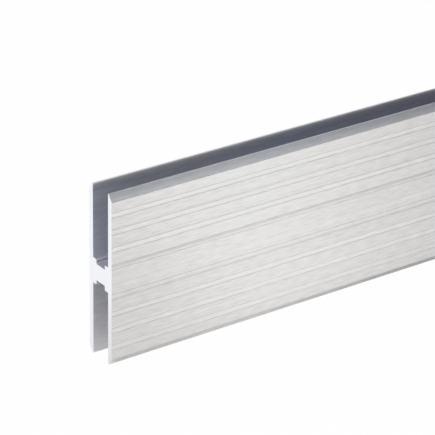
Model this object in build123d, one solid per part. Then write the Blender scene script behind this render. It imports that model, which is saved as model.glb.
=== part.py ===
from build123d import *
import os

# An extruded aluminium H-section: two upright flanges joined half-way up by a thick web, which
# leaves one open slot above the web and one below it. Both slots take the edge of a panel.
# X runs along the bar, Y across it and Z up. The origin is at floor level under the bar's middle.

# Driving dimensions, in millimetres
length = 1000.0  # a stock length, sawn square at both ends
height = 50.0  # from the lower flange tips to the upper ones
slot_width = 7.2  # clear width between the flanges
flange_wall = 1.8
web_wall = 4.8

# Beads that fill the corners where the web meets the flanges. A panel's edge stops on them.
bead_width = 1.6
bead_height = 1.35
bead_radius = 0.4
root_radius = 0.15

# Each flange tip is chamfered on its outer side, down to a narrow flat beside the slot.
tip_chamfer_height = 2.0
tip_flat = 0.4

# Shallow grooves that the die leaves along both outer faces, in rows above and below mid-height
groove_width = 1.6
groove_depth = 0.12
groove_pitch = 5.0
first_groove = 4.35  # from mid-height to the middle of the nearest groove

# Places that follow from them, in the plane of the section: across the bar, and up from mid-height
inner_face = slot_width / 2
outer_face = inner_face + flange_wall
tip = height / 2
chamfer_foot = tip - tip_chamfer_height
web_face = web_wall / 2
bead_top = web_face + bead_height
bead_side = inner_face - bead_width


def outline():
    """The bar's outer shape, as if both slots were filled: a tall bar with chamfered corners."""
    flat_end = inner_face + tip_flat
    half = [(outer_face, -chamfer_foot), (outer_face, chamfer_foot), (flat_end, tip), (-flat_end, tip)]
    return Polygon(*half, *[(-across, -up) for across, up in half], align=None)


def corners_at(sketch, across, up):
    """The mirrored pair of a sketch's corners at one distance from the middle and one height."""
    return [c for c in sketch.vertices() if abs(abs(c.X) - across) < 0.01 and abs(c.Y - up) < 0.01]


def upper_slot():
    """The space above the web: full width above the beads, narrower between them."""
    above_beads = Pos(0, (bead_top + tip) / 2) * Rectangle(slot_width, tip - bead_top)
    between_beads = Pos(0, (web_face + bead_top) / 2) * Rectangle(2 * bead_side, bead_height)
    slot = above_beads + between_beads
    slot = fillet(corners_at(slot, bead_side, bead_top), bead_radius)
    return fillet(corners_at(slot, bead_side, web_face), root_radius)


def grooves():
    """A rectangle for each groove, centred on the outer face so that half of it is in the metal."""
    room = chamfer_foot - first_groove - groove_width / 2
    rows = [first_groove + n * groove_pitch for n in range(int(room // groove_pitch) + 1)]
    groove = Rectangle(2 * groove_depth, groove_width)
    return [Pos(x, y) * groove for x in (-outer_face, outer_face) for row in rows for y in (-row, row)]


def section():
    """The H itself."""
    slot = upper_slot()
    return outline() - slot - mirror(slot, about=Plane.XZ) - grooves()


h_profile = extrude(Plane.YZ * section(), amount=length / 2, both=True)
h_profile = Pos(0, 0, tip) * h_profile

os.makedirs("parts", exist_ok=True)
export_step(h_profile, "parts/h_profile.step")
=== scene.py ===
import math
import random

import bmesh
import bpy
from mathutils import Matrix, Vector


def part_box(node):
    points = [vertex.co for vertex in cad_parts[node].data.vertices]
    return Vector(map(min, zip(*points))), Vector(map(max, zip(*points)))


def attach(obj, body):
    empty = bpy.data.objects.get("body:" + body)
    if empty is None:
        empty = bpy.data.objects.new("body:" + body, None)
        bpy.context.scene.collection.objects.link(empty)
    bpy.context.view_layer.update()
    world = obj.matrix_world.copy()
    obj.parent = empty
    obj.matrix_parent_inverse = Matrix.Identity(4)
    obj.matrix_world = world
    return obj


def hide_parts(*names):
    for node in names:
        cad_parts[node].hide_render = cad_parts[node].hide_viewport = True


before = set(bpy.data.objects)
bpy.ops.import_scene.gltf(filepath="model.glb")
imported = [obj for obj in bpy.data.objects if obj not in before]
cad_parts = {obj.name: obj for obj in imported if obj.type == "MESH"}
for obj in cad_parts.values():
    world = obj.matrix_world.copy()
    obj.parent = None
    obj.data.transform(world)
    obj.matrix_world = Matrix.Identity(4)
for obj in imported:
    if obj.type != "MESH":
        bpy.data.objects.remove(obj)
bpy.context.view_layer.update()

# The bar: one length of H-section, pressed hot through a die from a single billet of aluminium,
# stretched straight and sawn square at both ends. Its outer faces keep the shallow grooves and the
# fine lines of the die, and each of its corners has the die's own small radius.
low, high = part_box("h_profile")
length, width, height = high - low
middle = (low.z + high.z) / 2

slot_width = 0.0072
web_wall = 0.0048
bead_width, bead_height, bead_radius = 0.0016, 0.00135, 0.0004
root_radius = 0.00015
tip_chamfer_height, tip_flat = 0.002, 0.0004
tip_radius, chamfer_foot_radius = 0.00012, 0.00025
saw_edge = 0.00005

inner_face, outer_face = slot_width / 2, width / 2
tip = height / 2
chamfer_foot = tip - tip_chamfer_height
bead_top = web_wall / 2 + bead_height
bead_side = inner_face - bead_width
same_place = 0.00001

bpy.ops.object.select_all(action="DESELECT")
bpy.ops.mesh.primitive_cube_add(size=1, location=(0, 0, middle))
bar = bpy.context.object
bar.name = bar.data.name = "extruded_bar"
bar.scale = (length - 2 * saw_edge, slot_width, web_wall)
bpy.ops.object.transform_apply(location=True, rotation=True, scale=True)
bpy.ops.object.mode_set(mode="EDIT")


def near(value, target):
    return abs(value - target) < same_place


def pick_faces(test):
    """Selects the bar's faces whose middle, measured from mid-height, and normal pass a test."""
    bpy.ops.mesh.select_mode(type="FACE")
    bpy.ops.mesh.select_all(action="DESELECT")
    mesh = bmesh.from_edit_mesh(bar.data)
    for face in mesh.faces:
        if test(face.calc_center_bounds() - Vector((0, 0, middle)), face.normal):
            face.select_set(True)
    bmesh.update_edit_mesh(bar.data)


def pick_long_edges(test):
    """Selects the edges along the bar whose place across it, and up from mid-height, passes a test."""
    bpy.ops.mesh.select_mode(type="EDGE")
    bpy.ops.mesh.select_all(action="DESELECT")
    mesh = bmesh.from_edit_mesh(bar.data)
    for edge in mesh.edges:
        start, end = (corner.co for corner in edge.verts)
        if abs(start.x - end.x) > length / 2 and test(start.y, start.z - middle):
            edge.select_set(True)
    bmesh.update_edit_mesh(bar.data)


def cut(place, direction):
    """Cuts the selected faces along a plane that stands square to a direction."""
    bpy.ops.mesh.bisect(plane_co=place, plane_no=direction, threshold=1e-8)


def extrude(across, up):
    bpy.ops.mesh.extrude_region_move(TRANSFORM_OT_translate={"value": (0, across, up)})


def move(across, up):
    bpy.ops.transform.translate(value=(0, across, up))


# The web comes first, then the four beads on it, the two flanges and their tips.
for side in (-1, 1):
    bpy.ops.mesh.select_all(action="SELECT")
    cut((0, side * bead_side, 0), (0, 1, 0))
for end in (-1, 1):
    pick_faces(lambda place, normal: end * normal.z > 0.9 and abs(place.y) > bead_side)
    extrude(0, end * bead_height)
for side in (-1, 1):
    pick_faces(lambda place, normal: side * normal.y > 0.9 and near(side * place.y, inner_face))
    extrude(side * (outer_face - inner_face), 0)
for end in (-1, 1):
    pick_faces(lambda place, normal: end * normal.z > 0.9 and abs(place.y) > inner_face)
    extrude(0, end * (chamfer_foot - bead_top))
    extrude(0, end * tip_chamfer_height)
for side in (-1, 1):
    pick_long_edges(lambda across, up: near(side * across, outer_face) and near(abs(up), tip))
    move(side * (inner_face + tip_flat - outer_face), 0)


def round_off(across, up, radius, steps, turn):
    """Rounds the four long edges at one place, where the surface turns through an angle."""
    pick_long_edges(lambda y, z: near(abs(y), across) and near(abs(z), up))
    bpy.ops.mesh.bevel(
        offset=radius * math.tan(turn / 2), segments=steps, affect="EDGES", clamp_overlap=False
    )
    bpy.ops.mesh.select_mode(type="FACE")
    bpy.ops.mesh.faces_shade_smooth()


square = math.pi / 2
chamfer_turn = math.atan2(outer_face - inner_face - tip_flat, tip_chamfer_height)
round_off(bead_side, web_wall / 2, root_radius, 3, square)
round_off(bead_side, bead_top, bead_radius, 6, square)
round_off(inner_face, bead_top, root_radius, 3, square)
round_off(inner_face, tip, tip_radius, 4, square)
round_off(inner_face + tip_flat, tip, tip_radius, 4, square - chamfer_turn)
round_off(outer_face, chamfer_foot, chamfer_foot_radius, 4, chamfer_turn)

# The grooves: four above mid-height and four below, in both outer faces. Each has a short, steep wall
# at its foot, which looks like a ledge, and a softer wall at its top.
groove_width, groove_depth, groove_pitch, first_groove = 0.0016, 0.00012, 0.005, 0.00435
upper_ledge, upper_slope = 0.00004, 0.0003
lower_ledge, lower_slope = 0.00008, 0.0002
grooves = []
for row in range(4):
    centre = first_groove + row * groove_pitch
    grooves.append((centre - groove_width / 2, upper_ledge, upper_slope))
    grooves.append((-centre - groove_width / 2, lower_ledge, lower_slope))


def on_outer_face(place, normal):
    skin = outer_face - 2 * groove_depth
    return abs(place.y) > skin and abs(normal.y) > 0.9 and abs(place.z) < chamfer_foot


for foot, ledge, slope in grooves:
    for level in (foot, foot + ledge, foot + groove_width - slope, foot + groove_width):
        pick_faces(on_outer_face)
        cut((0, 0, middle + level), (0, 0, 1))


def on_groove_floor(place, normal):
    return on_outer_face(place, normal) and any(
        foot + ledge < place.z < foot + groove_width - slope for foot, ledge, slope in grooves
    )


for side in (-1, 1):
    pick_faces(lambda place, normal: side * place.y > 0 and on_groove_floor(place, normal))
    move(-side * groove_depth, 0)

# Die lines: shallow V-shaped scratches that run the whole length of the lands between the grooves.
# Small nicks in the die's edge leave them, so their places and depths follow no rule.
chance = random.Random(5)
plain_border = 0.0006
groove_border = 0.0001
up = -chamfer_foot + plain_border
while up < chamfer_foot - plain_border:
    half_width, depth = chance.uniform(0.00008, 0.0002), chance.uniform(0.000006, 0.000016)
    margin = half_width + groove_border
    if not any(foot - margin < up < foot + groove_width + margin for foot, ledge, slope in grooves):
        for level in (up - half_width, up, up + half_width):
            pick_faces(on_outer_face)
            cut((0, 0, middle + level), (0, 0, 1))
        for side in (-1, 1):
            pick_long_edges(lambda y, z: side * y > outer_face - same_place and near(z, up))
            move(-side * depth, 0)
    up += chance.uniform(0.0005, 0.0016)

# The saw leaves a bright face with a fine broken edge all round it.
pick_faces(lambda place, normal: abs(normal.x) > 0.9)
bpy.ops.mesh.inset(thickness=saw_edge, depth=saw_edge, use_even_offset=True, use_boundary=True)

mill_finish = bpy.data.materials.new("mill_aluminium")
saw_cut = bpy.data.materials.new("saw_cut_aluminium")
bar.data.materials.append(mill_finish)
bar.data.materials.append(saw_cut)
pick_faces(lambda place, normal: abs(normal.x) > 0.9)
bar.active_material_index = bar.data.materials.find(saw_cut.name)
bpy.ops.object.material_slot_assign()
bpy.ops.object.mode_set(mode="OBJECT")


# Mill finish: bare metal as the die leaves it, drawn along the bar, with fine streaks and slow
# patches that are partly its own uneven tone and partly painted sheen. The grooves have bright floors.
# Painted shade darkens the groove walls, the chamfers towards their tips and the bead edges, and
# makes the slots darker and a little blue.
def add_node(material, kind, **settings):
    node = material.node_tree.nodes.new("ShaderNode" + kind)
    for name, value in settings.items():
        setattr(node, name, value)
    return node


def join(material, source, target):
    material.node_tree.links.new(source, target)


def stretched_noise(material, lumps, detail, start=(0, 0, 0)):
    """Noise on the piece's own coordinates, with so many lumps per metre along each axis."""
    place = add_node(material, "TexCoord")
    stretch = add_node(material, "Mapping")
    stretch.inputs["Scale"].default_value = lumps
    stretch.inputs["Location"].default_value = start
    noise = add_node(material, "TexNoise")
    noise.inputs["Scale"].default_value = 1
    noise.inputs["Detail"].default_value = detail
    noise.inputs["Roughness"].default_value = 0.5
    join(material, place.outputs["Object"], stretch.inputs["Vector"])
    join(material, stretch.outputs["Vector"], noise.inputs["Vector"])
    return noise.outputs["Fac"]


def place_on(material):
    """The three coordinates of a point on the piece."""
    place = add_node(material, "TexCoord")
    axes = add_node(material, "SeparateXYZ")
    join(material, place.outputs["Object"], axes.inputs[0])
    return axes.outputs["X"], axes.outputs["Y"], axes.outputs["Z"]


def worked_out(material, operation, *values):
    """One step of arithmetic on sockets and numbers."""
    node = add_node(material, "Math", operation=operation)
    for value, target in zip(values, node.inputs):
        if isinstance(value, (int, float)):
            target.default_value = value
        else:
            join(material, value, target)
    return node.outputs[0]


def distance(material, value, centre=0):
    return worked_out(material, "ABSOLUTE", worked_out(material, "SUBTRACT", value, centre))


def above(material, value, limit):
    """1 where a value is above a limit, else 0."""
    return worked_out(material, "GREATER_THAN", value, limit)


def banded(material, value, centre, reach):
    """1 where a value lies within a reach of its centre, else 0."""
    return worked_out(material, "COMPARE", value, centre, reach)


def times(material, first, second):
    return worked_out(material, "MULTIPLY", first, second)


def ranged(material, value, from_low, from_high, to_low, to_high, kind="LINEAR"):
    node = add_node(material, "MapRange", interpolation_type=kind)
    for name, number in (
        ("From Min", from_low), ("From Max", from_high), ("To Min", to_low), ("To Max", to_high)
    ):
        node.inputs[name].default_value = number
    join(material, value, node.inputs["Value"])
    return node.outputs["Result"]


def ramp(material, value, tones):
    """A colour ramp from 0 to the place of its last tone."""
    node = add_node(material, "ValToRGB")
    stops = node.color_ramp.elements
    last = tones[-1][0]
    stops[1].position = 1
    for place, tone in tones[1:-1]:
        stops.new(place / last).color = (*tone, 1)
    stops[0].color, stops[-1].color = (*tones[0][1], 1), (*tones[-1][1], 1)
    join(material, ranged(material, value, 0, last, 0, 1), node.inputs["Fac"])
    return node.outputs["Color"]


def greys(material, value, tones):
    return ramp(material, value, [(place, (light, light, light)) for place, light in tones])


def mixed(material, blend, factor, first, second):
    """Mixes two colours, each of them plain or from a socket."""
    node = add_node(material, "Mix", data_type="RGBA", blend_type=blend)
    for name, value in (("Factor", factor), ("A", first), ("B", second)):
        if isinstance(value, tuple):
            node.inputs[name].default_value = (*value, 1)
        elif isinstance(value, (int, float)):
            node.inputs[name].default_value = value
        else:
            join(material, value, node.inputs[name])
    return node.outputs["Result"]


def tinted(material, base, tint, factor=1):
    """Multiplies a colour by a tint, as far as the factor says."""
    return mixed(material, "MULTIPLY", factor, base, tint)


mill_finish.use_nodes = True
metal = mill_finish.node_tree.nodes["Principled BSDF"]
metal.inputs["Metallic"].default_value = 0.84
metal.inputs["Anisotropic"].default_value = 0.5
drawn_way = add_node(mill_finish, "Tangent", direction_type="RADIAL", axis="X")
join(mill_finish, drawn_way.outputs["Tangent"], metal.inputs["Tangent"])

streaks = stretched_noise(mill_finish, (14, 2400, 2400), 3)
grain = stretched_noise(mill_finish, (260, 1500, 1500), 2)
die_lines = stretched_noise(mill_finish, (1.5, 1500, 1500), 1)
clouds = stretched_noise(mill_finish, (22, 90, 90), 2)
# Slow patches of lighter and darker colour on the outer faces: partly the metal's own uneven tone, partly
# painted sheen
tone_and_painted_sheen = stretched_noise(mill_finish, (10, 20, 13), 0, (18.1, 33.1, 14.2))
ledge_shade_noise = stretched_noise(mill_finish, (11, 20, 27), 0, (14.4, 8.5, 17.4))

# Where a point is: along the bar, up from the floor, and in a slot or on an outer side
along, across, up_from_floor = place_on(mill_finish)
from_left_end = ranged(mill_finish, along, low.x, high.x, 0, length)
from_centre = distance(mill_finish, across)
slot_reach = inner_face + 0.00005
inside = banded(mill_finish, from_centre, 0, slot_reach)
outside = above(mill_finish, from_centre, slot_reach)
front = ranged(mill_finish, across, -0.001, 0.001, 1, 0.25)

# Whether it is on the floor, the foot or the top wall of a groove, on a bead's edge or on a lower tip
shape = add_node(mill_finish, "NewGeometry")
facing = add_node(mill_finish, "SeparateXYZ")
join(mill_finish, shape.outputs["True Normal"], facing.inputs[0])
faces_up = above(mill_finish, facing.outputs["Z"], 0)
groove_floor = banded(mill_finish, from_centre, outer_face - groove_depth, groove_depth / 4)
groove_wall = banded(mill_finish, from_centre, outer_face - groove_depth / 2, groove_depth * 0.36)
wall_rim = banded(mill_finish, from_centre, outer_face - groove_depth * 0.3, groove_depth * 0.2)
top_walls = times(mill_finish, groove_wall, ranged(mill_finish, faces_up, 0, 1, 1, 0))
# Painted shade on the upward-facing ledges at the grooves' feet, in noise patches that fade out along the
# bar to the right
ledge_shade_fade = ranged(mill_finish, along, -0.45, -0.41, 1, 0.6)
ledge_shade_share = times(mill_finish, ranged(mill_finish, ledge_shade_noise, 0.3, 0.74, 0, 1), ledge_shade_fade)
shaded_ledges = times(mill_finish, times(mill_finish, wall_rim, faces_up), ledge_shade_share)
turning = distance(mill_finish, times(mill_finish, facing.outputs["Y"], facing.outputs["Z"]))
rounded = times(mill_finish, above(mill_finish, turning, 0.1), inside)
from_mid_height = distance(mill_finish, up_from_floor, middle)
bead_edges = times(mill_finish, rounded, banded(mill_finish, from_mid_height, 0, bead_top + 0.0002))
near_floor = ranged(mill_finish, up_from_floor, 0.0018, 0.0021, 1, 0)
bottom_tip = times(mill_finish, outside, near_floor)

# Tones by height above the floor, or by distance from the left end, in metres
floor_tone = greys(mill_finish, up_from_floor, (
    (0, 1.06), (0.018, 1.06), (0.0199, 1), (0.0203, 0.965), (0.0207, 1.01),
    (0.0291, 1), (0.0293, 0.84), (0.0303, 0.84), (0.033, 1.06), (height, 1.06),
))
# Painted shade on the grooves' top walls, which face down, by height
top_wall_shade = greys(mill_finish, up_from_floor, (
    (0, 0.8), (0.01, 0.6), (0.0215, 0.45), (0.029, 0.72), (0.034, 0.67), (height, 0.64),
))
# Painted shade on the ledges, by height
ledge_shade_tone = greys(mill_finish, up_from_floor, (
    (0, 0.75), (0.018, 0.84), (0.0198, 1), (0.028, 1), (0.0335, 0.36), (height, 0.36),
))
# Painted shade in both slots, bluish, by height
slot_shade = ramp(mill_finish, up_from_floor, (
    (0, (0.815, 0.825, 0.86)), (0.01, (0.925, 0.94, 0.975)), (0.0245, (0.895, 0.91, 0.945)),
    (0.0272, (0.94, 0.965, 1.02)), (0.0276, (0.94, 0.965, 1.02)), (0.0279, (0.78, 0.79, 0.84)),
    (0.0289, (0.78, 0.79, 0.84)), (0.0292, (0.88, 0.91, 0.98)), (0.036, (0.88, 0.91, 0.98)),
    (0.0415, (0.82, 0.845, 0.91)), (0.0468, (0.83, 0.855, 0.92)), (0.0478, (0.69, 0.715, 0.77)),
    (0.0491, (0.71, 0.725, 0.76)), (0.0495, (0.9, 0.91, 0.92)), (height, (1, 1, 1)),
))
# Painted shade in the slots that deepens with distance from the sawn left end
far_slot_shade = ramp(mill_finish, from_left_end, (
    (0, (0.98, 0.98, 0.99)), (0.035, (0.985, 0.98, 0.99)), (0.056, (0.93, 0.935, 0.965)),
    (0.07, (0.905, 0.92, 0.965)), (0.09, (0.868, 0.87, 0.9)), (0.105, (0.828, 0.82, 0.872)),
    (length, (0.82, 0.815, 0.875)),
))
# Painted shade on the top chamfers, darker towards their tips, mostly on the front flange
top_chamfer_foot = middle + chamfer_foot
top_chamfer_shade = ramp(mill_finish, up_from_floor, (
    (0, (1, 1, 1)), (top_chamfer_foot - 0.0003, (1, 1, 1)), (top_chamfer_foot, (0.95, 0.955, 0.965)),
    (0.0495, (0.73, 0.745, 0.78)), (0.0498, (0.75, 0.76, 0.79)), (height, (0.82, 0.82, 0.83)),
))
# Painted shade on the bottom chamfers, deepening along the bar to the right and up from the floor
bottom_chamfer_shade = ranged(mill_finish, along, -0.46, -0.41, 0.97, 0.8)
bottom_chamfer_shade_by_height = ranged(mill_finish, up_from_floor, 0, 0.0019, 1.02, 0.92)
# Painted shade that dulls the reflections on the rounded bead edges inside the slots
bead_edge_shade = (0.78, 0.77, 0.79)
clean_metal = (0.968, 0.954, 0.927)

tone = tinted(mill_finish, clean_metal, ranged(mill_finish, clouds, 0.3, 0.7, 0.985, 1.015))
for fleck, spread in ((streaks, 0.012), (grain, 0.056), (die_lines, 0.02)):
    tone = tinted(mill_finish, tone, ranged(mill_finish, fleck, 0.3, 0.7, 1 - spread, 1 + spread))
# Tints: the patchy tone and painted sheen, the groove floors' own tone, then painted shade on the groove
# walls and ledges, the chamfers, the slots and the bead edges
for tint, part in (
    (ranged(mill_finish, tone_and_painted_sheen, 0.4, 0.73, 0.848, 1.047), outside),
    (floor_tone, groove_floor),
    (top_wall_shade, top_walls),
    (ledge_shade_tone, shaded_ledges),
    (top_chamfer_shade, times(mill_finish, outside, front)),
    (bottom_chamfer_shade, bottom_tip),
    (bottom_chamfer_shade_by_height, bottom_tip),
    (slot_shade, inside),
    (far_slot_shade, inside),
    (bead_edge_shade, bead_edges),
):
    tone = tinted(mill_finish, tone, tint, part)
join(mill_finish, tone, metal.inputs["Base Color"])
join(mill_finish, ranged(mill_finish, streaks, 0.3, 0.7, 0.42, 0.5), metal.inputs["Roughness"])
relief = add_node(mill_finish, "Bump")
relief.inputs["Strength"].default_value = 0.25
relief.inputs["Distance"].default_value = 0.00002
join(mill_finish, streaks, relief.inputs["Height"])
join(mill_finish, relief.outputs["Normal"], metal.inputs["Normal"])

# Saw cut: bright bare metal with the faint arcs of the teeth of a large blade, which came in from the
# front. Painted shade makes it a little darker and warmer towards the floor, more so on the front flange.
fresh_cut = (0.94, 0.955, 0.99)
saw_cut.use_nodes = True
cut_metal = saw_cut.node_tree.nodes["Principled BSDF"]
cut_metal.inputs["Metallic"].default_value = 1
cut_place = add_node(saw_cut, "TexCoord")
blade_centre = add_node(saw_cut, "Mapping")
blade_centre.inputs["Location"].default_value = (0, 0.15, -0.06)
arcs = add_node(saw_cut, "TexWave", wave_type="RINGS", rings_direction="X")
for name, number in (("Scale", 380), ("Distortion", 5), ("Detail", 2)):
    arcs.inputs[name].default_value = number
join(saw_cut, cut_place.outputs["Object"], blade_centre.inputs["Vector"])
join(saw_cut, blade_centre.outputs["Vector"], arcs.inputs["Vector"])
across, up_from_floor = place_on(saw_cut)[1:]
# Painted shade towards the floor
cut_foot_shade = ramp(saw_cut, up_from_floor, (
    (0, (0.81, 0.8, 0.78)), (0.005, (0.87, 0.86, 0.845)), (0.014, (0.93, 0.92, 0.91)),
    (0.021, (1, 1, 1)), (height, (1, 1, 1)),
))
cut_tone = tinted(saw_cut, fresh_cut, ranged(saw_cut, arcs.outputs["Fac"], 0, 1, 0.965, 1.01))
front_share = ranged(saw_cut, across, -inner_face, inner_face, 1, 0.4)
join(saw_cut, tinted(saw_cut, cut_tone, cut_foot_shade, front_share), cut_metal.inputs["Base Color"])
join(saw_cut, ranged(saw_cut, arcs.outputs["Fac"], 0, 1, 0.44, 0.36), cut_metal.inputs["Roughness"])
tooth_marks = add_node(saw_cut, "Bump")
tooth_marks.inputs["Strength"].default_value = 0.2
tooth_marks.inputs["Distance"].default_value = 0.00001
join(saw_cut, arcs.outputs["Fac"], tooth_marks.inputs["Height"])
join(saw_cut, tooth_marks.outputs["Normal"], cut_metal.inputs["Normal"])

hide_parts("h_profile")
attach(bar, "root")

# The camera: a long lens that looks down on the sawn end from the front left, with a slight roll,
# as the photograph does.
sawn_end_foot = Vector((low.x, 0, low.z))
camera_from_foot = Vector((-0.30695, -0.47862, 0.32155))
yaw, pitch, roll = math.radians(35.72), math.radians(26.18), math.radians(1.2)
bpy.ops.object.camera_add(location=sawn_end_foot + camera_from_foot)
camera = bpy.context.object
turn = Matrix.Rotation(-yaw, 3, "Z") @ Matrix.Rotation(math.pi / 2 - pitch, 3, "X")
camera.rotation_euler = (turn @ Matrix.Rotation(roll, 3, "Z")).to_euler()
camera.data.sensor_width = 36
camera.data.lens = 203.0
bpy.context.scene.camera = camera

# The floor: plain white card. The camera sees it as white, and the metal sees it white too, except
# close beside the bar and under the tips it stands on, where a painted shadow band fades the card's glow.
floor_size, seen_share = 40, 0.985
bpy.ops.mesh.primitive_plane_add(size=floor_size)
floor = bpy.context.object
floor.name = floor.data.name = "floor"
card = bpy.data.materials.new("white_card")
card.use_nodes = True
floor.data.materials.append(card)
paper = card.node_tree.nodes["Principled BSDF"]
paper.inputs["Base Color"].default_value = (0.95, 0.945, 0.94, 1)
paper.inputs["Roughness"].default_value = 1
paper.inputs["Specular IOR Level"].default_value = 0
glow = add_node(card, "Emission")
glow.inputs["Color"].default_value = (1, 1, 1, 1)

along, across = place_on(card)[:2]
# Painted shadow: how much the card glows for the metal, by distance from the bar's centre line
beside_bar = greys(card, distance(card, across), (
    (0, 0.65), (0.0035, 0.6), (0.0039, 0.3), (0.005, 0.3), (0.007, 0.55), (0.012, 0.85), (0.04, 1),
))
past_ends = ranged(card, distance(card, along), length / 2 - 0.004, length / 2, 0, 1)
clear_of_bar = worked_out(card, "MAXIMUM", beside_bar, past_ends)
path = add_node(card, "LightPath")
mirrored = worked_out(card, "MAXIMUM", path.outputs["Is Glossy Ray"], path.outputs["Is Transmission Ray"])
seen_light = times(card, path.outputs["Is Camera Ray"], seen_share)
share = worked_out(card, "MAXIMUM", seen_light, times(card, mirrored, clear_of_bar))
card_face = add_node(card, "MixShader")
join(card, share, card_face.inputs[0])
join(card, paper.outputs[0], card_face.inputs[1])
join(card, glow.outputs[0], card_face.inputs[2])
join(card, card_face.outputs[0], card.node_tree.nodes["Material Output"].inputs["Surface"])

# The studio: a bright band low in front of the bar for its front face, a soft box above that for the
# chamfers and the slots, a white wall on the left for the sawn end, and dim grey surroundings
# overhead, behind and low on the right.
studio = bpy.data.worlds.new("studio")
bpy.context.scene.world = studio
studio.use_nodes = True
direction = add_node(studio, "TexCoord")
ways = add_node(studio, "SeparateXYZ")
join(studio, direction.outputs["Generated"], ways.inputs[0])
to_right, to_back, upwards = ways.outputs["X"], ways.outputs["Y"], ways.outputs["Z"]
swing = worked_out(studio, "ARCTAN2", upwards, times(studio, to_back, -1))
round_the_bar = ramp(studio, swing, [(math.radians(degrees), light) for degrees, light in (
    (0, (1.40, 1.40, 1.40)), (25, (0.30, 0.30, 0.31)), (50, (0.86, 0.89, 0.97)),
    (90, (0.65, 0.68, 0.74)), (135, (0.40, 0.40, 0.41)), (180, (0.40, 0.40, 0.40)),
)])
right_fade = ranged(studio, to_right, 0.46, 0.62, 1, 0.08, "SMOOTHSTEP")
low_part = ranged(studio, swing, math.radians(60), math.radians(72), 1, 0)
round_the_bar = tinted(studio, round_the_bar, right_fade, low_part)
wall_height = ranged(studio, upwards, 0.3, 0.5, 0, 1, "SMOOTHSTEP")
wall = mixed(studio, "MIX", wall_height, (1.12, 1.13, 1.17), (0.55, 0.56, 0.59))
on_left = ranged(studio, to_right, 0, 0.25, 1, 0, "SMOOTHSTEP")
light = mixed(studio, "MIX", on_left, round_the_bar, wall)
join(studio, light, studio.node_tree.nodes["Background"].inputs["Color"])

bpy.context.scene.view_settings.view_transform = "Standard"
